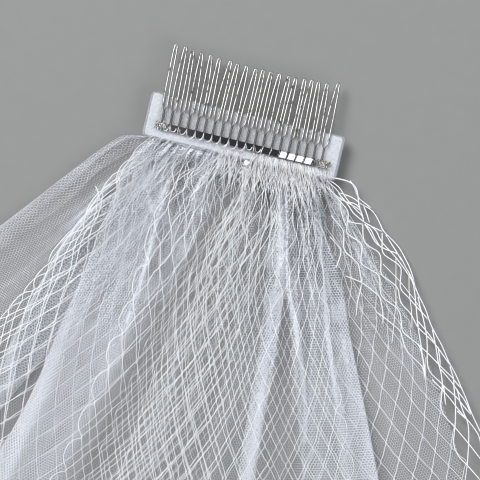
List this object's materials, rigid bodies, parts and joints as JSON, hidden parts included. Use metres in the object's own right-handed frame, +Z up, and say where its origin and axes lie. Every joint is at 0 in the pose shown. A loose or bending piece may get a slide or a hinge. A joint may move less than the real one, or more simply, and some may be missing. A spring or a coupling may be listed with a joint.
{
  "type": "bridal veil",
  "caption": "Two-tier bridal veil laid flat: gathered white tulle with a diamond net over each tier, sewn under a plush tape with a silver wire comb.",
  "frame": {"origin": "on the surface that the veil lies on, under the middle of the comb's bar", "axes": "+X along the comb's bar, +Y to the tips of its teeth, +Z up from the surface"},
  "size_m": [0.552, 0.6351, 0.0241],
  "materials": {
    "tulle": "fine white hexagonal tulle with a cool cast",
    "net": "white diamond net of thick soft thread",
    "plush": "white brushed plush tape",
    "wire": "bright silver-plated wire and strip",
    "bead": "clear white, glossy"
  },
  "bodies": {
    "root": {"lower_tulle": "tulle", "lower_net": "net", "upper_tulle": "tulle", "upper_net": "net", "plush_tape": "plush", "comb_bar": "wire", "end_coil_left": "wire", "end_coil_right": "wire", "knot_bead": "bead", "tooth_01": "wire", "tooth_02": "wire", "tooth_03": "wire", "tooth_04": "wire", "tooth_05": "wire", "tooth_06": "wire", "tooth_07": "wire", "tooth_08": "wire", "tooth_09": "wire", "tooth_10": "wire", "tooth_11": "wire", "tooth_12": "wire", "tooth_13": "wire", "tooth_14": "wire", "tooth_15": "wire", "tooth_16": "wire", "tooth_17": "wire", "tooth_18": "wire", "tooth_19": "wire", "tooth_20": "wire"}
  },
  "joints": []
}
